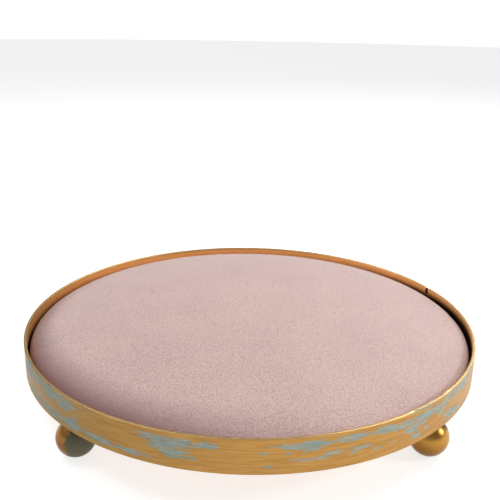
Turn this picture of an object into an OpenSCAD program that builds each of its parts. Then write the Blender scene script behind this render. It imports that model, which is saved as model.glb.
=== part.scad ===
// Round footed tray with a domed, leather-covered pad that drops into it.
// A rolled metal band and a flat base plate make the tray, and four metal balls,
// each held by a countersunk screw from inside, carry it.
// Millimetres. +Z is up, the front is -Y, and the origin is the centre of the
// footprint on the surface that the feet stand on.

/* [Tray] */
// Outside diameter of the rim band
rim_d = 200; // [160:1:260]
// Height of the rim band
rim_h = 14; // [12:0.5:20]
// Thickness of the strip that the rim band is rolled from
rim_t = 1.2; // [0.8:0.1:1.6]
// Radius that rounds each edge of the strip
rim_edge_r = 0.25; // [0.1:0.05:0.35]
// Thickness of the base plate
base_t = 1.5; // [1.5:0.1:2.5]
// Bearing of the band's butt seam, counted anticlockwise from +X seen from above
seam_bearing = 22; // [0:1:89]

/* [Feet] */
// Diameter of each ball foot
ball_d = 15.5; // [14:0.5:20]
// Distance from the rim's outer face in to the centre of a ball
ball_inset = 5.5; // [5:0.5:12]
// Angle between the two front feet, and between the two rear feet
foot_spread = 92; // [80:0.5:100]
// Diameter of the flat on top of each ball, where it meets the base plate
seat_flat_d = 7; // [6:0.5:9]
// Diameter of the small flat that each ball stands on
rest_flat_d = 3; // [1:0.5:5]

/* [Pad] */
// Clear gap between the pad's widest line and the rim's inner face
pad_gap = 0.5; // [0.4:0.1:5]
// Height of the pad's crown above the rim's lip
crown_rise = 7.8; // [4:0.2:20]
// Depth of the pad's widest line below the rim's lip
shoulder_drop = 6.8; // [3:0.1:8]
// Thickness of the leather cover
cover_t = 1; // [0.6:0.1:1.4]
// Thickness of the wadding between the foam and the cover
wadding_t = 1.6; // [1:0.1:3]
// Thickness of the backing board
board_t = 3; // [2:0.5:4]
// Thickness of the lining under the pad
lining_t = 0.8; // [0.5:0.1:1.2]
// Number of staples that hold the turned-in edge of the cover
staple_count = 16; // [8:1:24]

/* [Hidden] */
$fn = 96;

// Height of a ball's centre above a flat of diameter "flat_d" cut across it
function flat_height(flat_d) = sqrt(ball_r * ball_r - flat_d * flat_d / 4);

// Ball feet: the two flats on each ball fix the height of the tray above the ground
ball_r = ball_d / 2;
ball_z = flat_height(rest_flat_d);
foot_ring_r = rim_d / 2 - ball_inset;
seat_z = ball_z + flat_height(seat_flat_d);
FRONT_LEFT = 270 - foot_spread / 2;
FRONT_RIGHT = 270 + foot_spread / 2;
REAR_LEFT = 90 + foot_spread / 2;
REAR_RIGHT = 90 - foot_spread / 2;

// Screws, M3 with a 90 degree countersunk head whose top is flush with the base plate
screw_r = 1.5;
screw_head_r = 2.7;
screw_len = 8;
screw_clearance = 0.2;
thread_clearance = 0.02;
recess_w = 0.55;
recess_len = 2.8;
recess_depth = 0.8;

// Tray heights and radii
rim_r = rim_d / 2;
rim_inner_r = rim_r - rim_t;
floor_z = seat_z + base_t;
lip_z = seat_z + rim_h;
seam_nick_w = 0.9;
seam_nick_depth = 0.7;
seam_groove = 0.25;

// Pad heights and radii
pad_r = rim_inner_r - pad_gap;
shoulder_z = lip_z - shoulder_drop;
crown_z = lip_z + crown_rise;
cover_bottom_z = floor_z + lining_t;
board_r = pad_r - 6.1;
board_z = cover_bottom_z + cover_t;
board_top_z = board_z + board_t;
foam_inset = cover_t + wadding_t;
turn_in = 18;
turn_in_r = board_r - turn_in;
lining_r = board_r - 6;

DOME_STEPS = 22;
SIDE_STEPS = 9;

// Staples of flat wire, driven up through the turned-in cover into the board
staple_ring_r = board_r - 11;
staple_w = 6;
staple_wire = 0.5;
staple_leg = 2.6;

// Puts its children at one foot's place on the foot ring
module at_foot(bearing) {
    rotate([0, 0, bearing])
        translate([foot_ring_r, 0, 0])
            children();
}

// Points over the dome, from the crown out to the shoulder, for a skin "inset" deep
function dome_points(inset) = [
    for (i = [0 : DOME_STEPS])
        let (a = 90 * i / DOME_STEPS)
        [(pad_r - inset) * sin(a),
         shoulder_z + (crown_z - inset - shoulder_z) * cos(a)]
];

// Points round the pad's side, from the shoulder down and in to the board's edge
function side_points(inset) = [
    for (i = [1 : SIDE_STEPS])
        let (a = 90 * i / SIDE_STEPS)
        [board_r + (pad_r - board_r - inset) * cos(a),
         shoulder_z - (shoulder_z - cover_bottom_z - inset) * sin(a)]
];

// The whole outside of the pad at a given inset, from the crown to the board's edge
function skin_points(inset) = concat(dome_points(inset), side_points(inset));

// The same points in the opposite order, to come back along an inner skin
function reversed(points) = [for (i = [len(points) - 1 : -1 : 0]) points[i]];

// Section through the strip: a rectangle with its four edges rounded
module strip_section() {
    translate([rim_inner_r + rim_edge_r, seat_z])
        square([rim_t - 2 * rim_edge_r, rim_h]);
    translate([rim_inner_r, seat_z + rim_edge_r])
        square([rim_t, rim_h - 2 * rim_edge_r]);
    for (r = [rim_inner_r + rim_edge_r, rim_r - rim_edge_r])
        for (z = [seat_z + rim_edge_r, lip_z - rim_edge_r])
            translate([r, z])
                circle(r = rim_edge_r, $fn = 24);
}

// Strip of metal rolled into a ring, with a butt seam at the right, a little to the back
module rim_band() {
    color("#b98a4c")
        difference() {
            rotate_extrude()
                strip_section();
            rotate([0, 0, seam_bearing]) {
                translate([rim_inner_r - 1, -seam_nick_w / 2, lip_z - seam_nick_depth])
                    cube([rim_t + 2, seam_nick_w, 2]);
                translate([rim_r - seam_groove / 2, -seam_groove / 2, seat_z - 1])
                    cube([1, seam_groove, rim_h + 2]);
            }
        }
}

// Disc inside the bottom of the band, with a countersunk hole over each ball
module base_plate() {
    color("#a97c42")
        difference() {
            translate([0, 0, seat_z])
                cylinder(r = rim_inner_r, h = base_t);
            for (bearing = [REAR_RIGHT, REAR_LEFT, FRONT_LEFT, FRONT_RIGHT])
                at_foot(bearing) {
                    translate([0, 0, seat_z - 1])
                        cylinder(r = screw_r + screw_clearance, h = base_t + 2, $fn = 48);
                    countersink(thread_clearance);
                }
        }
}

// 90 degree cone of a screw's head, flush with the tray's floor, grown by "clearance"
module countersink(clearance) {
    cone_h = screw_head_r - screw_r;
    translate([0, 0, floor_z - cone_h])
        cylinder(r1 = screw_r + clearance, r2 = screw_head_r + clearance, h = cone_h, $fn = 48);
}

// Metal ball with a flat seat, a blind tapped hole down from it and a flat to stand on
module ball_foot(bearing) {
    color("#b07f3a")
        at_foot(bearing)
            difference() {
                translate([0, 0, ball_z])
                    sphere(r = ball_r);
                for (z = [seat_z, -ball_d])
                    translate([-ball_d, -ball_d, z])
                        cube([2 * ball_d, 2 * ball_d, ball_d]);
                translate([0, 0, floor_z - screw_len - 1])
                    cylinder(r = screw_r + thread_clearance, h = screw_len + 2, $fn = 48);
            }
}

// Countersunk screw with a cross recess, driven down into a ball
module foot_screw(bearing) {
    color("silver")
        at_foot(bearing)
            difference() {
                union() {
                    translate([0, 0, floor_z - screw_len])
                        cylinder(r = screw_r, h = screw_len - 0.5, $fn = 48);
                    countersink(0);
                }
                for (turn = [0, 90])
                    rotate([0, 0, turn])
                        translate([-recess_len / 2, -recess_w / 2, floor_z - recess_depth])
                            cube([recess_len, recess_w, 1]);
            }
}

// Fibreboard disc that the pad is built on
module backing_board() {
    color("#8a6a48")
        translate([0, 0, board_z])
            cylinder(r = board_r, h = board_t);
}

// Domed block of foam on the board
module foam_core() {
    color("#efe6c8")
        rotate_extrude()
            polygon(concat(
                dome_points(foam_inset),
                [[board_r, board_top_z],
                 [0, board_top_z]]
            ));
}

// Sheet of wadding over the foam, pulled round the edge of the board
module wadding() {
    color("white")
        rotate_extrude()
            polygon(concat(
                skin_points(cover_t),
                [[board_r, board_top_z]],
                reversed(dome_points(foam_inset))
            ));
}

// Leather cover over the dome and round the side, turned in under the board
module cover() {
    color("#d2b1a8")
        rotate_extrude()
            polygon(concat(
                skin_points(0),
                [[turn_in_r, cover_bottom_z],
                 [turn_in_r, board_z]],
                reversed(skin_points(cover_t))
            ));
}

// Ring of staples, each a crown sunk flush into the turned-in cover with two legs up
module cover_staples() {
    color("silver")
        for (i = [0 : staple_count - 1])
            rotate([0, 0, (i + 0.5) * 360 / staple_count])
                translate([staple_ring_r, 0, cover_bottom_z]) {
                    translate([-staple_wire / 2, -staple_w / 2, 0])
                        cube([staple_wire, staple_w, staple_wire]);
                    for (side = [-1, 1])
                        translate([-staple_wire / 2,
                                   side * (staple_w - staple_wire) / 2 - staple_wire / 2, 0])
                            cube([staple_wire, staple_wire, staple_leg]);
                }
}

// Disc of felt glued over the staples and the cut edge of the cover
module underside_lining() {
    color("#6f625c")
        translate([0, 0, floor_z])
            cylinder(r = lining_r, h = lining_t);
}

rim_band();
base_plate();
ball_foot(FRONT_LEFT);  // ball_foot_front_left
ball_foot(FRONT_RIGHT);  // ball_foot_front_right
ball_foot(REAR_LEFT);  // ball_foot_rear_left
ball_foot(REAR_RIGHT);  // ball_foot_rear_right
foot_screw(FRONT_LEFT);  // foot_screw_front_left
foot_screw(FRONT_RIGHT);  // foot_screw_front_right
foot_screw(REAR_LEFT);  // foot_screw_rear_left
foot_screw(REAR_RIGHT);  // foot_screw_rear_right
backing_board();
foam_core();
wadding();
cover();
cover_staples();
underside_lining();
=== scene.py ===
"""Looks of a round footed cushion tray: a gilt strip rim on ball feet, and a leather pad that drops into it.

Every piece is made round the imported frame, in metres, with +Z up and the front at -Y.
"""

import math
import random

import bpy
import numpy as np
from bpy.props import FloatProperty, FloatVectorProperty, IntProperty, PointerProperty
from mathutils import Matrix, Vector


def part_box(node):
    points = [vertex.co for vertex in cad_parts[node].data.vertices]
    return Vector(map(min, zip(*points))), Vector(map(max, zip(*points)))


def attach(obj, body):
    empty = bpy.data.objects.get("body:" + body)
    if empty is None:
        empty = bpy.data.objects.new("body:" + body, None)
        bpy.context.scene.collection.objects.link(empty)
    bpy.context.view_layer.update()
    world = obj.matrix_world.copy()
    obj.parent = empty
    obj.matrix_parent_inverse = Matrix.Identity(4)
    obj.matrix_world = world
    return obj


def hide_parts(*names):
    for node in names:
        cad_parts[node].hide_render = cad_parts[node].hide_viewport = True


bl_info = {
    "name": "Footed Cushion Tray",
    "version": (1, 0, 0),
    "blender": (4, 5, 0),
    "location": "View3D > Sidebar > Cushion Tray",
    "description": "Builds a gilt tray on ball feet and its leather pad round the packed frame",
    "category": "Object",
}

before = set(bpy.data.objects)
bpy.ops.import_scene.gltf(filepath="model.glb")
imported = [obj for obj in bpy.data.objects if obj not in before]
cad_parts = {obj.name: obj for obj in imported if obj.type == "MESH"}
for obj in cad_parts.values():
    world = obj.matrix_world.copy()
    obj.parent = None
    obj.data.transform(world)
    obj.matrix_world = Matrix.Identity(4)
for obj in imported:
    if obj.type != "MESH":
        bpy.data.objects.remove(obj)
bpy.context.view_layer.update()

MM = 0.001

# Places that the frame gives, in metres
RIM_LOW, RIM_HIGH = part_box("rim_band")
RIM_R = (RIM_HIGH.x - RIM_LOW.x) / 2
SEAT_Z = RIM_LOW.z
LIP_Z = RIM_HIGH.z
COVER_LOW, COVER_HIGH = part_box("cover")
PAD_R = (COVER_HIGH.x - COVER_LOW.x) / 2
CROWN_Z = COVER_HIGH.z
COVER_BOTTOM_Z = COVER_LOW.z
BOARD_LOW, BOARD_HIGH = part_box("backing_board")
BOARD_R = (BOARD_HIGH.x - BOARD_LOW.x) / 2
LINING_LOW, LINING_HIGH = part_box("underside_lining")
LINING_R = (LINING_HIGH.x - LINING_LOW.x) / 2

FEET = ("front_left", "front_right", "rear_left", "rear_right")

# Where the gold is rubbed through on the outside of the rim, as a hand left it: the bearing from the front
# towards +X in degrees, the depth below the lip in mm, the half length round the rim and the half height in mm
RUBBED_PATCHES = (
    (-62, 1.2, 6, 1.2), (-56, 2, 8, 1.8), (-50, 2.8, 7, 2.6),
    (-45.5, 3.6, 5, 2.6), (-42.5, 3, 3, 1.8), (-58, 11, 9, 1.3),
    (-50, 11, 9, 1.5), (-43, 10.4, 7, 1.9), (-41.5, 8.2, 2, 1.4),
    (-34, 11, 8, 1.3), (-26, 11.2, 8, 1), (-21, 3.2, 7, 1.7),
    (-15, 3.8, 7, 2), (-10, 3.2, 4, 1.4), (-19, 6, 5, 1.8),
    (-16, 8, 6, 1.8), (-13.5, 9.3, 3, 0.9), (10, 3, 12, 1.5),
    (10.5, 4.6, 4.5, 1), (19, 2.8, 10, 1.3), (27, 2.9, 9, 1.3),
    (31, 3.6, 9, 1.5), (38, 3.8, 10, 1.7), (44, 3.6, 6, 1.5),
    (49, 2.2, 7, 1.9), (55, 2.4, 8, 2.3), (60.5, 2, 5, 1.8),
    (39, 0.4, 12, 0.45), (1.2, 5.5, 2, 0.5), (5.7, 6, 1.5, 0.6),
    (9, 6, 2, 0.3), (15, 7, 4, 0.9), (21, 7.5, 6, 0.8),
    (10.5, 8.8, 8, 0.7), (18.5, 9, 3, 0.4), (25, 9.5, 2.5, 0.5),
    (28.7, 9, 1.8, 0.3), (2, 10.8, 2.2, 0.5), (34.5, 6.9, 5, 1.5),
    (38, 6.8, 2.5, 0.8), (35.5, 10.6, 3, 1.4), (38.7, 9.2, 2.5, 0.8),
    (44.2, 6.3, 3.5, 1), (48.5, 9, 5, 1.2), (51, 11.3, 8, 1.2),
)
# The same, from the side of the tray round its back, drawn at random with this seed
BACK_PATCHES = 46
BACK_SEED = 11
# Between these values of patch and stroke together, the gold gives way to the green ground
WORN_THROUGH = (5.44, 5.56)
# Small knocks in the lip, drawn at random with this seed
LIP_NICKS = 40
NICK_SEED = 5
# Bearings from the front towards +X, in degrees: the middle of the tarnish and painted shade outside, and of the
# painted shade inside
TARNISH_AND_SHADE_BEARING = -58
INNER_SHADE_BEARING = 88
# Bearing from +X, in degrees, of the middle of the painted shade and painted reflection at the leather's edge
EDGE_SHADE_BEARING = 212
# Frames that the cloth simulation of the cover runs for
SIM_FRAMES = 20
# Level direction of the key light, to which the studio is darker
KEY_SIDE = (0.88, 0.47, 0.0)
# What every light is turned to
LIGHT_AIM = Vector((0, 0, 0.02))

# Where the gold is rubbed through on each ball: a direction from its centre, the half angle in degrees
BALL_PATCHES = {
    "front_left": (((0.45, -0.8, 0.1), 52), ((0.0, -0.5, -0.8), 34), ((0.9, -0.2, -0.1), 46)),
    "front_right": (((0.62, 0.05, 0.78), 26), ((-0.7, 0.5, -0.5), 30)),
    "rear_left": (((-0.6, 0.6, 0.5), 34), ((0.3, 0.9, -0.2), 28)),
    "rear_right": (((0.8, 0.5, 0.3), 30), ((-0.2, 0.9, -0.5), 26)),
}


def linear(hex_colour):
    """Turns an sRGB hex colour into linear red, green, blue and an alpha of 1."""
    channels = [int(hex_colour[i:i + 2], 16) / 255 for i in (1, 3, 5)]
    return tuple(c / 12.92 if c <= 0.04045 else ((c + 0.055) / 1.055) ** 2.4 for c in channels) + (1.0,)


def size_prop(name, description, default_mm):
    """A length property whose default is given in millimetres."""
    return FloatProperty(name=name, description=description, default=default_mm * MM, min=0.0,
                         subtype="DISTANCE", unit="LENGTH", precision=5)


def angle_prop(name, description, default_degrees):
    """An angle property whose default is given in degrees."""
    return FloatProperty(name=name, description=description, default=math.radians(default_degrees),
                         subtype="ANGLE", unit="ROTATION")


def colour_prop(name, description, hex_colour):
    """A colour property whose default is an sRGB hex value."""
    return FloatVectorProperty(name=name, description=description, default=linear(hex_colour),
                               size=4, min=0.0, max=1.0, subtype="COLOR")


class RimSettings(bpy.types.PropertyGroup):
    """Sizes and colours of the rolled rim and of the paint that the tray shares."""

    strip_thickness: size_prop("Strip thickness", "Thickness of the strip that is rolled into the rim", 1.2)
    edge_radius: size_prop("Edge radius", "Rounding of the strip's edges", 0.28)
    seam_gap: size_prop("Seam gap", "Gap between the butted ends of the strip", 0.16)
    seam_bearing: angle_prop("Seam bearing", "Bearing of the butt seam from +X", 22)
    hand_wave: size_prop("Hand wave", "How far the rolled strip wanders from a true ring", 0.12)
    steps_round: IntProperty(name="Steps round", description="Faces round the rim", default=1200, min=96)
    gold: colour_prop("Gold", "Gold paint", "#c2934f")
    gold_thin: colour_prop("Thin gold", "Gold paint where it is thin and the ground shows through", "#aa7a3e")
    # Redder, brighter gold inside the rim: a painted reflection of the pink pad
    inside_reflection_gold: colour_prop("Inside gold", "Redder gold paint on the inside of the rim", "#fbc077")
    # Painted shade low on the inside of the rim and on one side of it; also the dark of the seam
    inner_shade_and_seam: colour_prop("Bare inside", "Dark oxide low on the inside, partly in place of shade", "#2e1a0c")
    # Lighter gold along the lip: polish from handling, and a painted highlight
    lip_gold_highlight: colour_prop("Edge gold", "Gold paint that handling has polished, along the lip", "#e6bd80")
    # A cool, darker film on one side of the outside: part tarnish, part painted shade
    tarnish_and_shade: colour_prop("Tarnish", "Cool film of tarnish on the left, partly in place of shade", "#c5cdd0")
    verdigris: colour_prop("Verdigris", "Green ground that shows where the gold is rubbed through", "#aab3a7")
    verdigris_deep: colour_prop("Deep verdigris", "Green ground in its darker strokes", "#88978d")


class FootSettings(bpy.types.PropertyGroup):
    """Sizes and colours of the ball feet."""

    rest_flat: size_prop("Rest flat", "Diameter of the flat that each ball stands on", 3.0)
    seat_flat: size_prop("Seat flat", "Diameter of the flat under the base plate", 7.0)
    bore_radius: size_prop("Bore radius", "Radius of the tapped hole for the screw", 1.52)
    bore_depth: size_prop("Bore depth", "Depth of the tapped hole below the seat", 7.5)
    gold: colour_prop("Ball gold", "Polished gold paint on the balls", "#bd8b42")
    # Darker gold low on the balls, and over more of the front left ball: painted shade
    gold_thin: colour_prop("Thin ball gold", "Gold paint low on the balls, where less of it was sprayed", "#7d5527")
    patina: colour_prop("Ball patina", "Dull green ground on the balls", "#524f3b")


class PadSettings(bpy.types.PropertyGroup):
    """Sizes and colours of the pad."""

    shoulder_drop: size_prop("Shoulder drop", "Depth of the pad's widest line below the lip", 5.5)
    cover_thickness: size_prop("Cover thickness", "Thickness of the leather", 1.0)
    wadding_thickness: size_prop("Wadding thickness", "Thickness of the wadding under the leather", 1.6)
    turn_in: size_prop("Turn-in", "How far the leather is turned in under the board", 18.0)
    sim_cap: size_prop("Simulation cap", "How far the simulation may move a point of the leather", 0.5)
    grid_steps: IntProperty(name="Grid steps", description="Faces across the middle of the cover",
                            default=54, min=16)
    pleats: IntProperty(name="Pleats", description="Pleats where the leather is turned in", default=52, min=0)
    staples: IntProperty(name="Staples", description="Staples round the turned-in leather", default=16, min=1)
    staple_inset: size_prop("Staple inset", "Distance of the staples from the board's edge", 11.0)
    leather: colour_prop("Leather", "Dusty pink leather", "#dbbcb5")
    # Painted shade, with a painted red reflection of the rim's inside, where the leather turns down at one side
    leather_shade: colour_prop("Leather edge", "Dark red tone at one edge, partly in place of shade", "#6a3a40")
    leather_dark: colour_prop("Leather creases", "Leather in the creases of its grain", "#a78885")


class StageSettings(bpy.types.PropertyGroup):
    """Camera, lights and floor."""

    lens_mm: FloatProperty(name="Lens", description="Focal length of the camera in millimetres",
                           default=52.93, min=10.0)
    distance: size_prop("Distance", "Distance of the camera from the middle of the lip", 340.0)
    azimuth: angle_prop("Azimuth", "Bearing of the camera from the front", -2.0)
    elevation: angle_prop("Elevation", "Height angle of the camera over the lip", 23.95)
    pitch: angle_prop("Pitch", "How far the camera looks down", 18.76)
    yaw: angle_prop("Yaw", "How far the camera looks to the left of the tray's middle", 0.1)
    roll: angle_prop("Roll", "Turn of the camera about its own line of sight", 1.0)
    floor: colour_prop("Floor", "Pale floor", "#b8b8b7")
    floor_glow: FloatProperty(name="Floor glow", description="Light that comes through the floor", default=0.76)
    skyline: FloatProperty(name="Skyline", description="Brightness of the studio near the floor", default=1.08)
    bright_side: FloatProperty(name="Key side", description="Brightness of the studio to the right and back",
                               default=0.05)
    dark_side: FloatProperty(name="Fill side", description="Brightness of the studio to the left and front",
                             default=0.4)
    kicker_watts: FloatProperty(name="Kicker", description="Power of the low light at the right", default=3.3)
    fill_watts: FloatProperty(name="Fill", description="Power of the light over the left side", default=3.3)
    key_watts: FloatProperty(name="Key", description="Power of the key light in watts", default=6.1)


# Shared makers of meshes and nodes


def fill_inputs(tree, node, inputs):
    """Links or sets inputs of a node, keyed by name or number."""
    for key, value in inputs.items():
        if isinstance(value, bpy.types.NodeSocket):
            tree.links.new(value, node.inputs[key])
        else:
            node.inputs[key].default_value = value


def add_node(tree, kind, settings=None, inputs=None):
    """Adds one node, sets its properties, and fills or links its inputs."""
    node = tree.nodes.new(kind)
    for name, value in (settings or {}).items():
        setattr(node, name, value)
    fill_inputs(tree, node, inputs or {})
    return node


def two_tone(tree, factor, light, dark, low=0.35, high=0.65):
    """A colour that goes from light to dark as the factor goes from low to high."""
    share = add_node(tree, "ShaderNodeMapRange", None, {"Value": factor, "From Min": low, "From Max": high})
    return add_node(tree, "ShaderNodeMix", {"data_type": "RGBA"},
                    {"Factor": share.outputs[0], 6: light, 7: dark}).outputs[2]


def new_material(name):
    """An empty material, its node tree and its Principled shader."""
    material = bpy.data.materials.new(name)
    material.use_nodes = True
    tree = material.node_tree
    return material, tree, tree.nodes["Principled BSDF"]


def link_object(name, data):
    """A new object of the given data, in the scene."""
    piece = bpy.data.objects.new(name, data)
    bpy.context.scene.collection.objects.link(piece)
    return piece


def new_piece(name, verts, faces):
    """A smooth-shaded mesh object from points and faces that are already in place."""
    mesh = bpy.data.meshes.new(name)
    mesh.from_pydata([tuple(v) for v in verts], [], [tuple(f) for f in faces])
    mesh.shade_smooth()
    mesh.update()
    return link_object(name, mesh)


def points_of(mesh):
    """The vertices of a mesh as an array of rows."""
    co = np.empty(len(mesh.vertices) * 3)
    mesh.vertices.foreach_get("co", co)
    return co.reshape(-1, 3)


def set_points(mesh, co):
    """Writes an array of rows back to the vertices of a mesh."""
    mesh.vertices.foreach_set("co", np.ascontiguousarray(co, dtype=np.float32).ravel())
    mesh.update()


def set_attribute(mesh, name, kind, values):
    """Stores one value, or one vector, for each vertex of a mesh."""
    attribute = mesh.attributes.new(name, kind, "POINT")
    field = "vector" if kind == "FLOAT_VECTOR" else "value"
    attribute.data.foreach_set(field, np.ascontiguousarray(values, dtype=np.float32).ravel())


def repaint(node, material):
    """Gives a CAD node one material in place of its own."""
    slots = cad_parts[node].data.materials
    slots.clear()
    slots.append(material)


def revolve(profile, steps):
    """Vertices and outward faces of a profile of (radius, height) rows turned about Z.

    The profile runs up the outside and ends on the axis at both ends, where it closes to one point.
    """
    verts = [(0.0, 0.0, profile[0][1])]
    ring_start = []
    for radius, height in profile[1:-1]:
        ring_start.append(len(verts))
        for i in range(steps):
            angle = 2 * math.pi * i / steps
            verts.append((radius * math.cos(angle), radius * math.sin(angle), height))
    top = len(verts)
    verts.append((0.0, 0.0, profile[-1][1]))
    faces = []
    for i in range(steps):
        j = (i + 1) % steps
        faces.append((0, ring_start[0] + j, ring_start[0] + i))
        for low, high in zip(ring_start, ring_start[1:]):
            faces.append((low + i, low + j, high + j, high + i))
        faces.append((ring_start[-1] + i, ring_start[-1] + j, top))
    return verts, faces


def grow(name, tree, values):
    """A plain mesh object of what a Geometry Nodes tree makes of its inputs, which are given by name."""
    helper = link_object(name + "_nodes", bpy.data.meshes.new(name + "_nodes"))
    modifier = helper.modifiers.new("Nodes", "NODES")
    modifier.node_group = tree
    sockets = {s.name: s.identifier for s in tree.interface.items_tree
               if getattr(s, "in_out", None) == "INPUT"}
    for label, value in values.items():
        modifier[sockets[label]] = value
    graph = bpy.context.evaluated_depsgraph_get()
    mesh = bpy.data.meshes.new_from_object(helper.evaluated_get(graph), depsgraph=graph)
    mesh.name = name
    bpy.data.objects.remove(helper)
    return link_object(name, mesh)


def new_geometry_tree(name, inputs):
    """A Geometry Nodes tree with named inputs, and its input and output nodes."""
    tree = bpy.data.node_groups.new(name, "GeometryNodeTree")
    for label, kind in inputs:
        tree.interface.new_socket(label, in_out="INPUT", socket_type=kind)
    tree.interface.new_socket("Geometry", in_out="OUTPUT", socket_type="NodeSocketGeometry")
    return tree, tree.nodes.new("NodeGroupInput").outputs, tree.nodes.new("NodeGroupOutput")


def end_tree(tree, geometry, finish, result):
    """Ends a Geometry Nodes tree: its geometry made real, in its finish."""
    real = add_node(tree, "GeometryNodeRealizeInstances", None, {"Geometry": geometry})
    finished = add_node(tree, "GeometryNodeSetMaterial", None, {"Geometry": real.outputs[0], "Material": finish})
    tree.links.new(finished.outputs[0], result.inputs[0])
    return tree


# Finishes


def gilt_strip():
    """Brushed gold paint over a green ground, rubbed through in strokes that run round the rim.

    It gives the eye a satin gold with fine strokes along the strip and chalky turquoise where it is worn. Inside the
    rim the gold is redder and brighter, a painted reflection of the pad, and goes dark low down and on one side as
    painted shade. The lip is lighter, part polish and part painted highlight, and one side of the outside wears a
    cool film that is part tarnish and part painted shade.
    """
    settings = bpy.context.scene.tray_rim
    material, tree, shader = new_material("gilt_over_verdigris")
    unrolled, rubbed, inside, lip_polish_and_highlight, tarnish_and_shade = (
        add_node(tree, "ShaderNodeAttribute", {"attribute_name": name}).outputs
        for name in ("unrolled", "rubbed", "inside", "lip_polish_and_highlight", "tarnish_and_shade")
    )

    def strokes(length_mm, width_mm, detail, seed):
        """Noise drawn out along the strip: one stroke is about length by width."""
        place = add_node(tree, "ShaderNodeMapping", None, {
            "Vector": unrolled["Vector"],
            "Location": (seed, seed * 0.7, seed * 1.3),
            "Scale": (1 / length_mm, 1 / width_mm, 1 / width_mm),
        })
        return add_node(tree, "ShaderNodeTexNoise", None, {
            "Vector": place.outputs[0], "Scale": 1.0, "Detail": detail, "Roughness": 0.6,
        }).outputs["Fac"]

    # The rubbed patches, broken up by two sizes of stroke, and cut off sharply at WORN_THROUGH
    broad = add_node(tree, "ShaderNodeMath", {"operation": "MULTIPLY_ADD"},
                     {0: strokes(7.0, 0.72, 5.0, 3.0), 1: 6.5, 2: rubbed["Fac"]})
    worn = add_node(tree, "ShaderNodeMath", {"operation": "MULTIPLY_ADD"},
                    {0: strokes(3.5, 0.5, 2.0, 13.0), 1: 4.5, 2: broad.outputs[0]})
    mask = add_node(tree, "ShaderNodeMapRange", {"interpolation_type": "SMOOTHSTEP"}, {
        "Value": worn.outputs[0], "From Min": WORN_THROUGH[0], "From Max": WORN_THROUGH[1],
    }).outputs[0]

    gold = two_tone(tree, strokes(12.0, 0.6, 5.0, 8.0), settings.gold, settings.gold_thin, 0.4, 0.68)
    # Inside the rim the gold turns redder and brighter: a painted reflection of the pink pad
    warm = two_tone(tree, inside["Fac"], gold, settings.inside_reflection_gold, 0.0, 0.1)
    # Low down and on one side of the inner wall the colour goes dark as painted shade; at the seam it is the dark
    # joint
    inner_shade = add_node(tree, "ShaderNodeMapRange", {"interpolation_type": "SMOOTHSTEP"},
                     {"Value": inside["Fac"], "From Min": 0.26, "From Max": 0.52})
    deep = add_node(tree, "ShaderNodeMix", {"data_type": "RGBA"},
                    {"Factor": inner_shade.outputs[0], 6: warm, 7: settings.inner_shade_and_seam})
    # Along the lip the gold is lighter: part polish from handling, part painted highlight
    bright = add_node(tree, "ShaderNodeMix", {"data_type": "RGBA"},
                      {"Factor": lip_polish_and_highlight["Fac"], 6: deep.outputs[2], 7: settings.lip_gold_highlight})
    green = two_tone(tree, strokes(4.0, 0.6, 4.0, 21.0), settings.verdigris, settings.verdigris_deep)
    colour = add_node(tree, "ShaderNodeMix", {"data_type": "RGBA"}, {"Factor": mask, 6: bright.outputs[2], 7: green})
    # A cool, darker film on one side of the outside: part tarnish, part painted shade
    tarnished_and_shaded = add_node(tree, "ShaderNodeMix", {"data_type": "RGBA", "blend_type": "MULTIPLY"},
                      {"Factor": tarnish_and_shade["Fac"], 6: colour.outputs[2], 7: settings.tarnish_and_shade})

    metal = add_node(tree, "ShaderNodeMapRange", None, {"Value": mask, "To Min": 0.85, "To Max": 0.05})
    polish = add_node(tree, "ShaderNodeMapRange", None, {"Value": lip_polish_and_highlight["Fac"], "To Min": 0.42, "To Max": 0.34})
    dull = add_node(tree, "ShaderNodeMapRange", None,
                    {"Value": mask, "To Min": polish.outputs[0], "To Max": 0.72})
    relief = add_node(tree, "ShaderNodeMath", {"operation": "MULTIPLY_ADD"},
                      {0: mask, 1: -1.2, 2: strokes(9.0, 0.3, 3.0, 33.0)})
    bump = add_node(tree, "ShaderNodeBump", None,
                    {"Strength": 0.35, "Distance": 0.05 * MM, "Height": relief.outputs[0]})
    fill_inputs(tree, shader, {"Base Color": tarnished_and_shaded.outputs[2], "Metallic": metal.outputs[0],
                               "Roughness": dull.outputs[0], "Normal": bump.outputs[0]})
    return material


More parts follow.
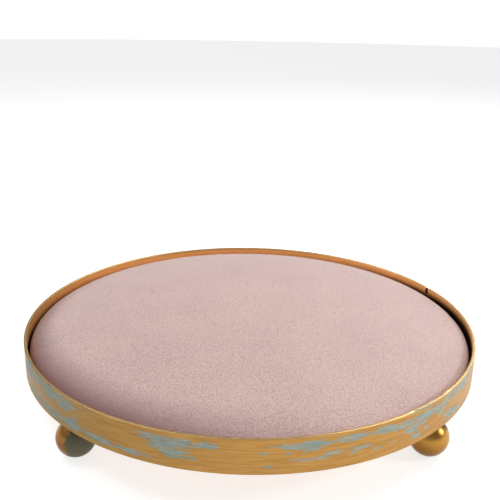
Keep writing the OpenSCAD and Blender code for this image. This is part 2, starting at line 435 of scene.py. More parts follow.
def gilt_ball():
    """Polished gold paint over a green ground, rubbed through in patches with ragged edges.

    It gives the eye a soft bright highlight on gold and a dull grey-green where it is worn. The gold is darker low on
    each ball, as painted shade.
    """
    settings = bpy.context.scene.tray_feet
    material, tree, shader = new_material("polished_gilt_over_verdigris")
    place = add_node(tree, "ShaderNodeTexCoord").outputs["Object"]
    rubbed = add_node(tree, "ShaderNodeAttribute", {"attribute_name": "rubbed"})
    ragged = add_node(tree, "ShaderNodeTexNoise", None,
                      {"Vector": place, "Scale": 1 / (2.2 * MM), "Detail": 4.0, "Roughness": 0.6})
    edge = add_node(tree, "ShaderNodeMath", {"operation": "MULTIPLY_ADD"},
                    {0: ragged.outputs["Fac"], 1: 1.4, 2: -0.7})
    worn = add_node(tree, "ShaderNodeMath", {"operation": "ADD"}, {0: rubbed.outputs["Fac"], 1: edge.outputs[0]})
    mask = add_node(tree, "ShaderNodeMapRange", {"interpolation_type": "SMOOTHSTEP"},
                    {"Value": worn.outputs[0], "From Min": 0.0, "From Max": 0.14})
    # Darker low on each ball, and over more of the front left one: painted shade
    thin = add_node(tree, "ShaderNodeAttribute", {"attribute_name": "thin"})
    gold = add_node(tree, "ShaderNodeMix", {"data_type": "RGBA"},
                    {"Factor": thin.outputs["Fac"], 6: settings.gold, 7: settings.gold_thin})
    colour = add_node(tree, "ShaderNodeMix", {"data_type": "RGBA"},
                      {"Factor": mask.outputs[0], 6: gold.outputs[2], 7: settings.patina})
    metal = add_node(tree, "ShaderNodeMapRange", None,
                     {"Value": mask.outputs[0], "To Min": 1.0, "To Max": 0.25})
    dull = add_node(tree, "ShaderNodeMapRange", None,
                    {"Value": mask.outputs[0], "To Min": 0.3, "To Max": 0.55})
    bump = add_node(tree, "ShaderNodeBump", None,
                    {"Strength": 0.2, "Distance": 0.1 * MM, "Height": ragged.outputs["Fac"]})
    fill_inputs(tree, shader, {"Base Color": colour.outputs[2], "Metallic": metal.outputs[0],
                               "Roughness": dull.outputs[0], "Normal": bump.outputs[0]})
    return material


def dull_gilt():
    """Thin gold paint on flat sheet, sprayed and never polished, as on the underside of a tray."""
    settings = bpy.context.scene.tray_rim
    material, tree, shader = new_material("sprayed_gilt_sheet")
    place = add_node(tree, "ShaderNodeTexCoord").outputs["Object"]
    cloudy = add_node(tree, "ShaderNodeTexNoise", None,
                      {"Vector": place, "Scale": 1 / (18 * MM), "Detail": 6.0, "Roughness": 0.65})
    speck = add_node(tree, "ShaderNodeTexNoise", None,
                     {"Vector": place, "Scale": 1 / (0.6 * MM), "Detail": 3.0})
    bump = add_node(tree, "ShaderNodeBump", None,
                    {"Strength": 0.3, "Distance": 0.05 * MM, "Height": speck.outputs["Fac"]})
    fill_inputs(tree, shader, {
        "Base Color": two_tone(tree, cloudy.outputs["Fac"], settings.gold, settings.gold_thin),
        "Normal": bump.outputs[0], "Metallic": 0.8, "Roughness": 0.5,
    })
    return material


def rose_leather():
    """Fine-grained pink leather, dyed through, with a soft waxed finish.

    It gives the eye a close, even pebble finer than a millimetre, a low sheen and a little colour drift. The creases
    of the grain are painted darker as shade, and one side of the edge is darker and redder as painted shade and a
    painted reflection of the rim's inside.
    """
    settings = bpy.context.scene.tray_pad
    material, tree, shader = new_material("rose_grain_leather")
    place = add_node(tree, "ShaderNodeTexCoord").outputs["Object"]
    warp = add_node(tree, "ShaderNodeTexNoise", None,
                    {"Vector": place, "Scale": 1 / (2.4 * MM), "Detail": 2.0})
    warped = add_node(tree, "ShaderNodeVectorMath", {"operation": "MULTIPLY_ADD"},
                      {0: warp.outputs["Color"], 1: (0.9 * MM,) * 3, 2: place})
    pebble = add_node(tree, "ShaderNodeTexVoronoi", {"feature": "SMOOTH_F1"},
                      {"Vector": warped.outputs[0], "Scale": 1 / (0.7 * MM), "Smoothness": 0.3})
    fine = add_node(tree, "ShaderNodeTexNoise", None,
                    {"Vector": place, "Scale": 1 / (0.5 * MM), "Detail": 2.0, "Roughness": 0.6})
    drift = add_node(tree, "ShaderNodeTexNoise", None,
                     {"Vector": place, "Scale": 1 / (26 * MM), "Detail": 3.0})
    height = add_node(tree, "ShaderNodeMath", {"operation": "MULTIPLY_ADD"},
                      {0: pebble.outputs["Distance"], 1: -0.8, 2: fine.outputs["Fac"]})
    # Darker in the creases of the grain: painted shade there; the broad drift is the leather's own tone
    crease = add_node(tree, "ShaderNodeMapRange", None,
                      {"Value": height.outputs[0], "From Min": -0.1, "From Max": 0.3, "To Min": 0.5, "To Max": 0.0})
    deep = add_node(tree, "ShaderNodeMath", {"operation": "MULTIPLY_ADD", "use_clamp": True},
                    {0: drift.outputs["Fac"], 1: 0.35, 2: crease.outputs[0]})
    colour = add_node(tree, "ShaderNodeMix", {"data_type": "RGBA"},
                      {"Factor": deep.outputs[0], 6: settings.leather, 7: settings.leather_dark})
    # Darker and redder where the leather turns down at one side: painted shade and a painted reflection of the rim's
    # inside
    turned = add_node(tree, "ShaderNodeAttribute", {"attribute_name": "painted_edge_shade"}).outputs["Fac"]
    edge_shaded = add_node(tree, "ShaderNodeMix", {"data_type": "RGBA"},
                    {"Factor": turned, 6: colour.outputs[2], 7: settings.leather_shade})
    bump = add_node(tree, "ShaderNodeBump", None,
                    {"Strength": 1.0, "Distance": 0.2 * MM, "Height": height.outputs[0]})
    fill_inputs(tree, shader, {"Base Color": edge_shaded.outputs[2], "Normal": bump.outputs[0], "Roughness": 0.55,
                               "Sheen Weight": 0.25, "Sheen Roughness": 0.5})
    return material


def speckled(name, hex_light, hex_dark, grain_mm, metallic, roughness, bump_mm):
    """A plain finish with a fine two-tone grain, for the pieces that the pad and the tray hide."""
    material, tree, shader = new_material(name)
    place = add_node(tree, "ShaderNodeTexCoord").outputs["Object"]
    grain = add_node(tree, "ShaderNodeTexNoise", None,
                     {"Vector": place, "Scale": 1 / (grain_mm * MM), "Detail": 5.0, "Roughness": 0.65})
    bump = add_node(tree, "ShaderNodeBump", None,
                    {"Strength": 0.5, "Distance": bump_mm * MM, "Height": grain.outputs["Fac"]})
    fill_inputs(tree, shader, {
        "Base Color": two_tone(tree, grain.outputs["Fac"], linear(hex_light), linear(hex_dark)),
        "Normal": bump.outputs[0], "Metallic": metallic, "Roughness": roughness,
    })
    return material


# The tray


def strip_section(settings):
    """Closed outline of the strip: x out from the middle of its thickness, y down from the lip."""
    half = settings.strip_thickness / 2
    radius = settings.edge_radius
    height = LIP_Z - SEAT_Z
    corners = (
        (half - radius, radius, -90, 20),
        (half - radius, height - radius, 0, 4),
        (radius - half, height - radius, 90, 14),
        (radius - half, radius, 180, 3),
    )
    outline = []
    for k, (x, y, start, rows) in enumerate(corners):
        arc = [(x + radius * math.cos(math.radians(start + a)), y + radius * math.sin(math.radians(start + a)))
               for a in range(0, 91, 18)]
        nx, ny, nstart, _ = corners[(k + 1) % 4]
        ahead = (nx + radius * math.cos(math.radians(nstart)), ny + radius * math.sin(math.radians(nstart)))
        run = [(arc[-1][0] + (ahead[0] - arc[-1][0]) * i / rows, arc[-1][1] + (ahead[1] - arc[-1][1]) * i / rows)
               for i in range(1, rows)]
        outline += arc + run
    return outline


def section_curve(outline):
    """A helper curve of one closed outline, to be swept."""
    curve = bpy.data.curves.new("strip_section", "CURVE")
    curve.dimensions = "2D"
    spline = curve.splines.new("POLY")
    spline.points.add(len(outline) - 1)
    for point, (x, y) in zip(spline.points, outline):
        point.co = (x, y, 0.0, 1.0)
    spline.use_cyclic_u = True
    return link_object("strip_section", curve)


def rolled_strip_tree():
    """Sweeps a section round an open ring, and lets it wander a little as a hand-rolled strip does."""
    tree, given, result = new_geometry_tree("rolled_strip", (
        ("Section", "NodeSocketObject"), ("Radius", "NodeSocketFloat"), ("Start", "NodeSocketFloat"),
        ("Sweep", "NodeSocketFloat"), ("Steps", "NodeSocketInt"), ("Lip height", "NodeSocketFloat"),
        ("Wave", "NodeSocketFloat"), ("Finish", "NodeSocketMaterial"),
    ))
    ring = add_node(tree, "GeometryNodeCurveArc", {"mode": "RADIUS"}, {
        "Resolution": given["Steps"], "Radius": given["Radius"],
        "Start Angle": given["Start"], "Sweep Angle": given["Sweep"],
    })
    upright = add_node(tree, "GeometryNodeSetCurveNormal", {"mode": "Z_UP"}, {"Curve": ring.outputs["Curve"]})
    section = add_node(tree, "GeometryNodeObjectInfo", {"transform_space": "ORIGINAL"}, {"Object": given["Section"]})
    strip = add_node(tree, "GeometryNodeCurveToMesh", None, {
        "Curve": upright.outputs[0], "Profile Curve": section.outputs["Geometry"], "Fill Caps": True,
    })
    place = add_node(tree, "GeometryNodeInputPosition")
    wander = add_node(tree, "ShaderNodeTexNoise", None,
                      {"Vector": place.outputs[0], "Scale": 1 / (55 * MM), "Detail": 1.0})
    centred = add_node(tree, "ShaderNodeVectorMath", {"operation": "SUBTRACT"},
                       {0: wander.outputs["Color"], 1: (0.5, 0.5, 0.5)})
    offset = add_node(tree, "ShaderNodeVectorMath", {"operation": "SCALE"},
                      {0: centred.outputs[0], "Scale": given["Wave"]})
    up = add_node(tree, "ShaderNodeCombineXYZ", None, {"Z": given["Lip height"]})
    moved = add_node(tree, "ShaderNodeVectorMath", {"operation": "ADD"}, {0: offset.outputs[0], 1: up.outputs[0]})
    placed = add_node(tree, "GeometryNodeSetPosition", None,
                      {"Geometry": strip.outputs["Mesh"], "Offset": moved.outputs[0]})
    smooth = add_node(tree, "GeometryNodeSetShadeSmooth", None, {"Geometry": placed.outputs[0]})
    return end_tree(tree, smooth.outputs[0], given["Finish"], result)


def rubbed_depth(angle, depth_mm, patches):
    """How far inside the nearest rubbed patch each point is: 1 at its middle, 0 at its edge, -1 well outside."""
    value = np.full(len(angle), -1.0)
    for bearing, depth, half_length, half_height in patches:
        turn = angle - math.radians(bearing)
        along = np.arctan2(np.sin(turn), np.cos(turn)) * RIM_R / MM
        value = np.maximum(value, 1 - (along / half_length) ** 2 - ((depth_mm - depth) / half_height) ** 2)
    return value


def back_patches():
    """Rubbed patches from one side of the tray round its back to the other."""
    draw = random.Random(BACK_SEED)
    patches = []
    for _ in range(BACK_PATCHES):
        bearing = draw.uniform(66, 300)
        depth = draw.choice((draw.uniform(1.5, 5.5), draw.uniform(7.0, 12.5)))
        patches.append((bearing, depth, draw.uniform(4, 17), draw.uniform(0.5, 1.9)))
    return patches


def nick_lip(co, bearing, from_seam):
    """Lowers the lip in small nicks, as knocks leave them, and clips the corners of the butted ends."""
    draw = random.Random(NICK_SEED)
    height = (co[:, 2] - SEAT_Z) / (LIP_Z - SEAT_Z)
    near_lip = np.clip((height - 0.9) / 0.1, 0, 1)
    outer = np.hypot(co[:, 0], co[:, 1]) > RIM_R - 0.7 * MM
    for _ in range(LIP_NICKS):
        middle = draw.uniform(-math.pi, math.pi)
        width = draw.uniform(0.35, 1.1) * MM
        depth = draw.uniform(0.05, 0.18) * MM
        side = outer if draw.random() < 0.7 else ~outer
        turn = bearing - middle
        along = np.arctan2(np.sin(turn), np.cos(turn)) * RIM_R
        co[:, 2] -= depth * np.exp(-(along / width) ** 2) * near_lip ** 3 * side
    end = np.minimum(from_seam, 2 * math.pi - from_seam) * RIM_R
    clipped = LIP_Z - 0.7 * MM * np.clip(1.7 - end / (0.45 * MM), 0, 1)
    co[:, 2] = np.minimum(co[:, 2], clipped)
    return co


class TRAY_OT_rim(bpy.types.Operator):
    """Roll the gilt strip into the rim and wear its paint"""

    bl_idname = "tray.rim"
    bl_label = "Rim Band"

    def execute(self, context):
        settings = context.scene.tray_rim
        section = section_curve(strip_section(settings))
        middle_r = RIM_R - settings.strip_thickness / 2
        gap_angle = settings.seam_gap / middle_r
        rim = grow("rolled_rim", rolled_strip_tree(), {
            "Section": section, "Radius": middle_r, "Start": settings.seam_bearing + gap_angle / 2,
            "Sweep": 2 * math.pi - gap_angle, "Steps": settings.steps_round, "Lip height": LIP_Z,
            "Wave": settings.hand_wave, "Finish": gilt_strip(),
        })
        bpy.data.objects.remove(section)
        co = points_of(rim.data)
        bearing = np.arctan2(co[:, 0], -co[:, 1])
        radius = np.hypot(co[:, 0], co[:, 1])
        # 1 on the outer face, easing to 0 over the strip's rounded edge
        outside = np.clip((radius - (RIM_R - 0.5 * MM)) / (0.3 * MM), 0, 1)
        depth_mm = (LIP_Z - co[:, 2]) / MM
        rubbed = rubbed_depth(bearing, depth_mm, RUBBED_PATCHES + tuple(back_patches()))
        # Patches wear through softly, stop short outside their edge, and never reach the inner wall
        rubbed = np.where(rubbed > 0, 0.8 * rubbed, 2.2 * rubbed) * outside - 5 * (1 - outside)
        from_seam = np.mod(bearing - math.pi / 2 - settings.seam_bearing, 2 * math.pi)
        unrolled = np.stack([from_seam * RIM_R / MM, radius / MM, co[:, 2] / MM], axis=1)
        set_attribute(rim.data, "rubbed", "FLOAT", rubbed)
        # One side of the outside gets a cool, darker film: part tarnish, part painted shade
        turn = np.degrees(bearing) - TARNISH_AND_SHADE_BEARING
        set_attribute(rim.data, "tarnish_and_shade", "FLOAT", outside * np.exp(-(turn / 48) ** 2))
        # The inner wall goes dark low down and on one side, as painted shade, and the butted ends are dark
        bare = depth_mm / 14 + 0.26 * np.exp(-((np.degrees(bearing) - INNER_SHADE_BEARING) / 40) ** 2)
        inner = radius < RIM_R - settings.strip_thickness * 0.75
        at_seam = (np.minimum(from_seam, 2 * math.pi - from_seam) < 0.9 * MM / RIM_R) & (depth_mm < 3)
        set_attribute(rim.data, "inside", "FLOAT", np.where(at_seam, 0.6, np.where(inner, bare, 0)))
        # The lip is lighter and glossier, from polish and a painted highlight, except at the seam
        set_attribute(rim.data, "lip_polish_and_highlight", "FLOAT", np.where(at_seam, 0, np.clip(1 - depth_mm / 0.3, 0, 1)))
        set_attribute(rim.data, "unrolled", "FLOAT_VECTOR", unrolled)
        set_points(rim.data, nick_lip(co, bearing, from_seam))
        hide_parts("rim_band")
        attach(rim, "tray")
        return {"FINISHED"}


class TRAY_OT_base(bpy.types.Operator):
    """Paint the base plate"""

    bl_idname = "tray.base"
    bl_label = "Base Plate"

    def execute(self, context):
        repaint("base_plate", dull_gilt())
        return {"FINISHED"}


def ball_profile(settings, radius, seat_height):
    """Profile of a ball with its two flats and the blind bore, from the ground up the outside to the bore's end."""
    rest = settings.rest_flat / 2
    seat = settings.seat_flat / 2
    low = math.asin(-math.sqrt(radius ** 2 - rest ** 2) / radius)
    high = math.asin(math.sqrt(radius ** 2 - seat ** 2) / radius)
    middle = math.sqrt(radius ** 2 - rest ** 2)
    arc = [(radius * math.cos(low + (high - low) * i / 60), middle + radius * math.sin(low + (high - low) * i / 60))
           for i in range(61)]
    bore = settings.bore_radius
    end = seat_height - settings.bore_depth
    return [(0.0, 0.0), (rest * 0.6, 0.0)] + arc + [(bore, seat_height), (bore, end), (0.0, end)]


class TRAY_OT_feet(bpy.types.Operator):
    """Turn the four ball feet and wear their paint"""

    bl_idname = "tray.feet"
    bl_label = "Ball Feet"

    def execute(self, context):
        settings = context.scene.tray_feet
        finish = gilt_ball()
        for place in FEET:
            node = "ball_foot_" + place
            low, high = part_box(node)
            centre = (low + high) / 2
            radius = (high.x - low.x) / 2
            verts, faces = revolve(ball_profile(settings, radius, high.z), 96)
            co = np.array(verts)
            from_middle = co - (0, 0, radius)
            direction = from_middle / np.linalg.norm(from_middle, axis=1)[:, None].clip(1e-9)
            rubbed = np.full(len(co), -1.0)
            for towards, half_angle in BALL_PATCHES[place]:
                aim = np.array(towards) / np.linalg.norm(towards)
                angle = np.degrees(np.arccos(np.clip(direction @ aim, -1, 1)))
                rubbed = np.maximum(rubbed, 1 - (angle / half_angle) ** 2)
            ball = new_piece("gilt_ball_" + place, co + (centre.x, centre.y, 0), faces)
            set_attribute(ball.data, "rubbed", "FLOAT", np.clip(rubbed, -1, 1))
            # Darker low on each ball, more so on the front left one: painted shade
            shade_reach = 0.75 if place == "front_left" else 0.35
            set_attribute(ball.data, "thin", "FLOAT", np.clip(shade_reach - direction @ (0.35, 0.1, 0.85), 0, 1))
            ball.data.materials.append(finish)
            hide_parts(node)
            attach(ball, "tray")
        return {"FINISHED"}


class TRAY_OT_screws(bpy.types.Operator):
    """Plate the foot screws"""

    bl_idname = "tray.screws"
    bl_label = "Foot Screws"

    def execute(self, context):
        zinc = speckled("zinc_plated_steel", "#c9c9c4", "#a9aaa6", 0.8, 1.0, 0.32, 0.01)
        for place in FEET:
            repaint("foot_screw_" + place, zinc)
        return {"FINISHED"}


# The pad


def dome_line(settings, inset, steps):
    """Points over the dome from the crown out to the shoulder, for a skin "inset" deep."""
    shoulder_z = LIP_Z - settings.shoulder_drop
    angles = np.linspace(0, math.pi / 2, steps)
    radius = (PAD_R - inset) * np.sin(angles)
    height = shoulder_z + (CROWN_Z - inset - shoulder_z) * np.cos(angles)
    return np.stack([radius, height], axis=1)


def side_line(settings, inset, steps):
    """Points round the side from the shoulder down and in to the board's edge."""
    shoulder_z = LIP_Z - settings.shoulder_drop
    angles = np.linspace(0, math.pi / 2, steps)
    radius = BOARD_R + (PAD_R - BOARD_R - inset) * np.cos(angles)
    height = shoulder_z - (shoulder_z - COVER_BOTTOM_Z - inset) * np.sin(angles)
    return np.stack([radius, height], axis=1)


def even_line(points):
    """A function that gives the point at a share from 0 to 1 of a line's length, and the length."""
    steps = np.hypot(*np.diff(points, axis=0).T)
    place = np.concatenate([[0], np.cumsum(steps)])

    def at(share):
        return np.stack([np.interp(share * place[-1], place, points[:, k]) for k in (0, 1)], axis=-1)

    return at, place[-1]


def disc_grid(steps, core):
    """Shares from the middle and bearings of a disc of square faces with round rings outside it, and its faces.

    The middle is a square grid eased into a circle of share "core", so that there is no pole at the crown.
    """
    side = np.linspace(-1, 1, steps + 1)
    u, v = np.meshgrid(side, side, indexing="ij")
    x = u * np.sqrt(1 - v ** 2 / 2)
    y = v * np.sqrt(1 - u ** 2 / 2)
    share = [core * np.hypot(x, y).ravel()]
    bearing = [np.arctan2(y, x).ravel()]
    grid = np.arange((steps + 1) ** 2).reshape(steps + 1, steps + 1)
    faces = np.stack([grid[:-1, :-1], grid[1:, :-1], grid[1:, 1:], grid[:-1, 1:]], axis=-1).reshape(-1, 4)
    edge = np.concatenate([grid[:-1, 0], grid[-1, :-1], grid[:0:-1, -1], grid[0, :0:-1]])
    rings = round((1 - core) / core * steps / 2 * 1.1)
    faces = [tuple(f) for f in faces]
    last = edge
    edge_bearing = bearing[0][edge]
    count = (steps + 1) ** 2
    for k in range(1, rings + 1):
        ring = np.arange(count, count + len(edge))
        share.append(np.full(len(edge), core + (1 - core) * k / rings))
        bearing.append(edge_bearing)
        ahead = np.roll(np.arange(len(edge)), -1)
        faces += [(last[i], ring[i], ring[j], last[j]) for i, j in enumerate(ahead)]
        last = ring
        count += len(edge)
    return np.concatenate(share), np.concatenate(bearing), faces


def inflate(piece, held, cap):
    """Blows the sheet out with Blender's cloth, where it isn't held, and moves no point further than cap."""
    rest = points_of(piece.data)
    group = piece.vertex_groups.new(name="held")
    for index in np.flatnonzero(held > 0):
        group.add([int(index)], float(held[index]), "REPLACE")
    cloth = piece.modifiers.new("Blown cover", "CLOTH")
    cloth.settings.quality = 6
    cloth.settings.use_pressure = True
    cloth.settings.uniform_pressure_force = 4.0
    cloth.settings.tension_stiffness = 25
    cloth.settings.compression_stiffness = 25
    cloth.settings.bending_stiffness = 4
    cloth.settings.mass = 3.0
    cloth.settings.vertex_group_mass = "held"
    cloth.settings.effector_weights.gravity = 0
    cloth.point_cache.frame_start = 1
    cloth.point_cache.frame_end = SIM_FRAMES
    for number in range(1, SIM_FRAMES + 1):
        bpy.context.scene.frame_set(number)
    graph = bpy.context.evaluated_depsgraph_get()
    blown = points_of(piece.evaluated_get(graph).data)
    piece.modifiers.remove(cloth)
    piece.vertex_groups.remove(group)
    bpy.context.scene.frame_set(1)
    move = blown - rest
    length = np.linalg.norm(move, axis=1)
    move *= (np.minimum(length, cap) / length.clip(1e-9))[:, None]
    set_points(piece.data, rest + move)


class TRAY_OT_cover(bpy.types.Operator):
    """Cut, blow out and pleat the leather cover"""

    bl_idname = "tray.cover"
    bl_label = "Leather Cover"

    def execute(self, context):
        settings = context.scene.tray_pad
        slack = 0.6 * settings.sim_cap
        turned = np.array([[BOARD_R - settings.turn_in, COVER_BOTTOM_Z]])
        line = np.concatenate([dome_line(settings, slack, 400), side_line(settings, slack, 80)[1:],
                               turned + (0, slack)])
        at, length = even_line(line)
        share, bearing, faces = disc_grid(settings.grid_steps, core=0.42)
        place = at(share)
        co = np.stack([place[:, 0] * np.cos(bearing), place[:, 0] * np.sin(bearing), place[:, 1]], axis=1)
        cover = new_piece("leather_cover", co, faces)
        shoulder_z = LIP_Z - settings.shoulder_drop
        # Held fast from 3 to 5 mm below the shoulder, and free above
        held = np.clip((shoulder_z - 3 * MM - co[:, 2]) / (2 * MM), 0, 1)
        inflate(cover, held, settings.sim_cap)
        co = points_of(cover.data)
        below = np.clip((shoulder_z - 2.5 * MM - co[:, 2]) / (4 * MM), 0, 1)
        # Pleats, a little uneven round the ring, lift the turned-in leather by up to half a millimetre
        fold = np.abs(np.sin(bearing * settings.pleats / 2 + 0.6 * np.sin(bearing * 5)))
        co[:, 2] += 0.5 * MM * below * (1 - fold) ** 2
        set_points(cover.data, co)
        # Painted shade and a painted red reflection of the rim's inside, strongest round one bearing near the
        # leather's edge
        turn = np.degrees(np.mod(bearing, 2 * math.pi)) - EDGE_SHADE_BEARING
        start = 0.88 - 0.06 * np.clip((turn + 27) / 40, 0, 1)
        out = np.clip((np.hypot(co[:, 0], co[:, 1]) / PAD_R - start) / (0.99 - start), 0, 1)
        set_attribute(cover.data, "painted_edge_shade", "FLOAT", out ** 1.2 * np.exp(-(turn / 55) ** 4))
        thick = cover.modifiers.new("Leather thickness", "SOLIDIFY")
        thick.thickness = settings.cover_thickness
        thick.offset = -1
        round_off = cover.modifiers.new("Smooth", "SUBSURF")
        round_off.levels = 1
        round_off.render_levels = 1
        cover.data.materials.append(rose_leather())
        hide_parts("cover")
        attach(cover, "pad")
        return {"FINISHED"}


class TRAY_OT_filling(bpy.types.Operator):
    """Make the foam, the wadding and the board inside the pad"""

    bl_idname = "tray.filling"
    bl_label = "Pad Filling"

    def execute(self, context):
        settings = context.scene.tray_pad
        inner = settings.cover_thickness + settings.wadding_thickness
        gap = 0.05 * MM
        board_top = BOARD_HIGH.z

        dome = dome_line(settings, inner + gap, 40)
        foam_line = [(0.0, board_top), (BOARD_R * 0.5, board_top), (BOARD_R, board_top)] + list(dome[::-1])
        foam = new_piece("foam_block", *revolve(foam_line, 160))
        foam.data.materials.append(speckled("open_cell_foam", "#efe2b8", "#d8c690", 1.2, 0.0, 0.9, 0.4))
        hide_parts("foam_core")
        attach(foam, "pad")

        skin = np.concatenate([dome_line(settings, settings.cover_thickness + gap, 40),
                               side_line(settings, settings.cover_thickness + gap, 12)[1:]])
        core = dome_line(settings, inner, 40)
        wad_line = [tuple(core[0])] + [tuple(p) for p in core[1:]] + [(BOARD_R + gap, board_top)]
        wad_line += [tuple(p) for p in skin[::-1]]
        wad = new_piece("wadding_layer", *revolve(wad_line, 160))
        wad.data.materials.append(speckled("polyester_wadding", "#f2f1ec", "#dcdbd4", 2.5, 0.0, 0.95, 0.5))
        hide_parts("wadding")
        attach(wad, "pad")

        repaint("backing_board", speckled("pressed_hardboard", "#8c6a48", "#6b4d31", 1.6, 0.0, 0.7, 0.08))
        return {"FINISHED"}


def staple_mesh():
    """One staple of flat wire, crown down, with its legs up and its corners eased."""
    wire = 0.25 * MM
    half = 3.0 * MM
    leg = 2.4 * MM
    bend = 0.5 * MM
    path = [(-half, leg), (-half, bend), (-half + bend * 0.3, bend * 0.3), (-half + bend, 0.0),
            (half - bend, 0.0), (half - bend * 0.3, bend * 0.3), (half, bend), (half, leg)]
    mesh = bpy.data.meshes.new("staple")
    verts, faces = [], []
    for k, (y, z) in enumerate(path):
        before = Vector(path[max(k - 1, 0)])
        after = Vector(path[min(k + 1, len(path) - 1)])
        along = (after - before).normalized()
        normal = Vector((-along.y, along.x)) * wire
        for x, side in ((-wire, -1), (wire, -1), (wire, 1), (-wire, 1)):
            verts.append((x, y + normal.x * side, z + wire + normal.y * side))
        if k:
            a, b = 4 * (k - 1), 4 * k
            faces += [(b + i, b + (i + 1) % 4, a + (i + 1) % 4, a + i) for i in range(4)]
    faces += [(0, 1, 2, 3), tuple(4 * len(path) - 1 - i for i in range(4))]
    mesh.from_pydata(verts, [], faces)
    return mesh


def staple_ring_tree():
    """Sets staples round a circle, each turned a little off true, as a hand tacker leaves them."""
    tree, given, result = new_geometry_tree("staple_ring", (
        ("Staple", "NodeSocketObject"), ("Count", "NodeSocketInt"), ("Radius", "NodeSocketFloat"),
        ("Height", "NodeSocketFloat"), ("Off true", "NodeSocketFloat"), ("Seed", "NodeSocketInt"),
        ("Finish", "NodeSocketMaterial"),
    ))
    circle = add_node(tree, "GeometryNodeMeshCircle", None, {"Vertices": given["Count"], "Radius": given["Radius"]})
    index = add_node(tree, "GeometryNodeInputIndex")
    share = add_node(tree, "ShaderNodeMath", {"operation": "DIVIDE"}, {0: index.outputs[0], 1: given["Count"]})
    turn = add_node(tree, "ShaderNodeMath", {"operation": "MULTIPLY"}, {0: share.outputs[0], 1: 2 * math.pi})
    least = add_node(tree, "ShaderNodeMath", {"operation": "MULTIPLY"}, {0: given["Off true"], 1: -1.0})
    stray = add_node(tree, "FunctionNodeRandomValue", {"data_type": "FLOAT"},
                     {2: least.outputs[0], 3: given["Off true"], "Seed": given["Seed"]})
    angle = add_node(tree, "ShaderNodeMath", {"operation": "ADD"}, {0: turn.outputs[0], 1: stray.outputs[1]})
    about_z = add_node(tree, "ShaderNodeCombineXYZ", None, {"Z": angle.outputs[0]})
    staple = add_node(tree, "GeometryNodeObjectInfo", None, {"Object": given["Staple"]})
    placed = add_node(tree, "GeometryNodeInstanceOnPoints", None, {
        "Points": circle.outputs[0], "Instance": staple.outputs["Geometry"], "Rotation": about_z.outputs[0],
    })
    up = add_node(tree, "ShaderNodeCombineXYZ", None, {"Z": given["Height"]})
    lifted = add_node(tree, "GeometryNodeSetPosition", None, {"Geometry": placed.outputs[0], "Offset": up.outputs[0]})
    return end_tree(tree, lifted.outputs[0], given["Finish"], result)


class TRAY_OT_underside(bpy.types.Operator):
    """Staple the turned-in leather and line the underside of the pad"""

    bl_idname = "tray.underside"
    bl_label = "Pad Underside"

    def execute(self, context):
        settings = context.scene.tray_pad
        pattern = link_object("staple", staple_mesh())
        wire = speckled("galvanised_staple_wire", "#c4c6c6", "#9fa2a3", 0.5, 1.0, 0.35, 0.01)
        ring = grow("staple_ring", staple_ring_tree(), {
            "Staple": pattern, "Count": settings.staples, "Radius": BOARD_R - settings.staple_inset,
            "Height": COVER_BOTTOM_Z, "Off true": math.radians(5), "Seed": 3, "Finish": wire,
        })
        bpy.data.objects.remove(pattern)
        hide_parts("cover_staples")
        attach(ring, "pad")

        soft = 0.25 * MM
        low, high = LINING_LOW.z, LINING_HIGH.z
        line = [(0.0, low)] + [(LINING_R * k / 12, low) for k in range(1, 12)]
        line += [(LINING_R - soft, low), (LINING_R, low + soft), (LINING_R, high - soft), (LINING_R - soft, high)]
        line += [(LINING_R * k / 12, high) for k in range(11, 0, -1)] + [(0.0, high)]
        felt = new_piece("felt_lining", *revolve(line, 180))
        felt.data.materials.append(speckled("pressed_felt", "#5a4f4a", "#3f3733", 0.7, 0.0, 0.95, 0.15))
        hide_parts("underside_lining")
        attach(felt, "pad")
        return {"FINISHED"}


# The stage


def studio_world(settings):
    """A pale room: bright just over the floor, and above that bright only on the side away from the key."""
    world = bpy.data.worlds.new("studio")
    world.use_nodes = True
    tree = world.node_tree
    direction = add_node(tree, "ShaderNodeTexCoord").outputs["Generated"]
    towards_key = add_node(tree, "ShaderNodeVectorMath", {"operation": "DOT_PRODUCT"},
                           {0: direction, 1: KEY_SIDE})
    side = add_node(tree, "ShaderNodeMapRange", {"interpolation_type": "SMOOTHSTEP"}, {
        "Value": towards_key.outputs["Value"], "From Min": -0.8, "From Max": 0.8,
        "To Min": settings.dark_side, "To Max": settings.bright_side,
    })
    height = add_node(tree, "ShaderNodeSeparateXYZ", None, {0: direction})
    upper = add_node(tree, "ShaderNodeMapRange", {"interpolation_type": "SMOOTHSTEP"},
                     {"Value": height.outputs["Z"], "From Min": 0.07, "From Max": 0.22})
    strength = add_node(tree, "ShaderNodeMix", {"data_type": "FLOAT"},
                        {0: upper.outputs[0], 2: settings.skyline, 3: side.outputs[0]})
    tree.links.new(strength.outputs[0], tree.nodes["Background"].inputs["Strength"])
    tree.nodes["Background"].inputs["Color"].default_value = linear("#ffffff")
    return world


def add_area_light(name, place, size, watts):
    """A square soft white light at a place, turned to the tray."""
    light = bpy.data.lights.new(name, "AREA")
    light.size = size
    light.energy = watts
    lamp = link_object(name, light)
    lamp.location = place
    lamp.rotation_euler = (LIGHT_AIM - Vector(place)).to_track_quat("-Z", "Y").to_euler()


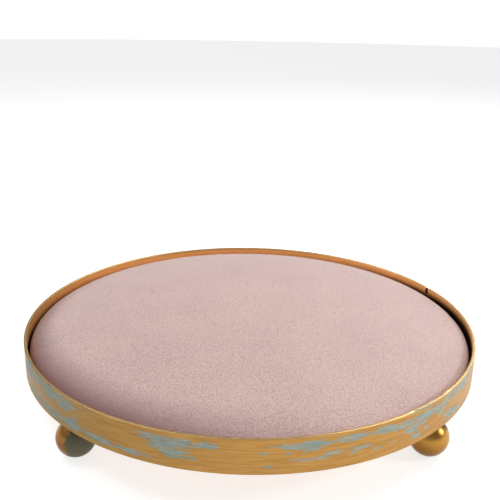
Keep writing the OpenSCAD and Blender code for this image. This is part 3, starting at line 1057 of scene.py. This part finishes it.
class TRAY_OT_stage(bpy.types.Operator):
    """Set the camera, the lights and the floor"""

    bl_idname = "tray.stage"
    bl_label = "Stage"

    def execute(self, context):
        settings = context.scene.tray_stage
        scene = context.scene

        data = bpy.data.cameras.new("camera")
        data.lens = settings.lens_mm
        data.clip_start = 0.01
        camera = link_object("camera", data)
        turn = Matrix.Rotation(settings.azimuth, 4, "Z")
        back = turn @ Vector((0, -math.cos(settings.elevation), math.sin(settings.elevation)))
        place = Matrix.Translation(Vector((0, 0, LIP_Z)) + back * settings.distance)
        aim = Matrix.Rotation(settings.yaw, 4, "Z") @ Matrix.Rotation(math.pi / 2 - settings.pitch, 4, "X")
        camera.matrix_world = place @ turn @ aim @ Matrix.Rotation(settings.roll, 4, "Z")
        scene.camera = camera

        floor = new_piece("floor", *revolve([(0, -0.02), (3.0, -0.02), (3.0, 0.0), (0, 0.0)], 64))
        material, tree, shader = new_material("backlit_paper_floor")
        fill_inputs(tree, shader, {
            "Base Color": settings.floor, "Roughness": 0.9, "Specular IOR Level": 0.1,
            "Emission Color": linear("#ffffff"), "Emission Strength": settings.floor_glow,
        })
        floor.data.materials.append(material)

        scene.world = studio_world(settings)
        scene.view_settings.view_transform = "Standard"
        add_area_light("key", (0.49, 0.43, 0.75), 0.6, settings.key_watts)
        add_area_light("kicker", (0.87, -0.20, 0.46), 0.25, settings.kicker_watts)
        add_area_light("fill", (-0.45, 0.12, 0.76), 0.5, settings.fill_watts)
        return {"FINISHED"}


class TRAY_PT_panel(bpy.types.Panel):
    """Lists the steps that build the tray, and the sizes and colours behind them"""

    bl_idname = "TRAY_PT_panel"
    bl_label = "Cushion Tray"
    bl_space_type = "VIEW_3D"
    bl_region_type = "UI"
    bl_category = "Cushion Tray"

    def draw(self, context):
        for operator in STEPS:
            self.layout.operator(operator.bl_idname)
        for group in GROUPS:
            box = self.layout.box()
            box.label(text=group)
            settings = getattr(context.scene, group)
            for name in settings.__annotations__:
                box.prop(settings, name)


GROUPS = {
    "tray_rim": RimSettings,
    "tray_feet": FootSettings,
    "tray_pad": PadSettings,
    "tray_stage": StageSettings,
}
STEPS = (
    TRAY_OT_stage,
    TRAY_OT_rim,
    TRAY_OT_base,
    TRAY_OT_feet,
    TRAY_OT_screws,
    TRAY_OT_cover,
    TRAY_OT_filling,
    TRAY_OT_underside,
)


def register():
    """Registers the settings, the operators and the panel."""
    for name, group in GROUPS.items():
        bpy.utils.register_class(group)
        setattr(bpy.types.Scene, name, PointerProperty(type=group))
    for item in (*STEPS, TRAY_PT_panel):
        bpy.utils.register_class(item)


def unregister():
    """Removes what register added, in the opposite order."""
    for item in (TRAY_PT_panel, *reversed(STEPS)):
        bpy.utils.unregister_class(item)
    for name, group in reversed(GROUPS.items()):
        delattr(bpy.types.Scene, name)
        bpy.utils.unregister_class(group)


def main():
    """Builds every piece and the stage."""
    register()
    for operator in STEPS:
        family, name = operator.bl_idname.split(".")
        getattr(getattr(bpy.ops, family), name)()


if __name__ == "__main__":
    main()
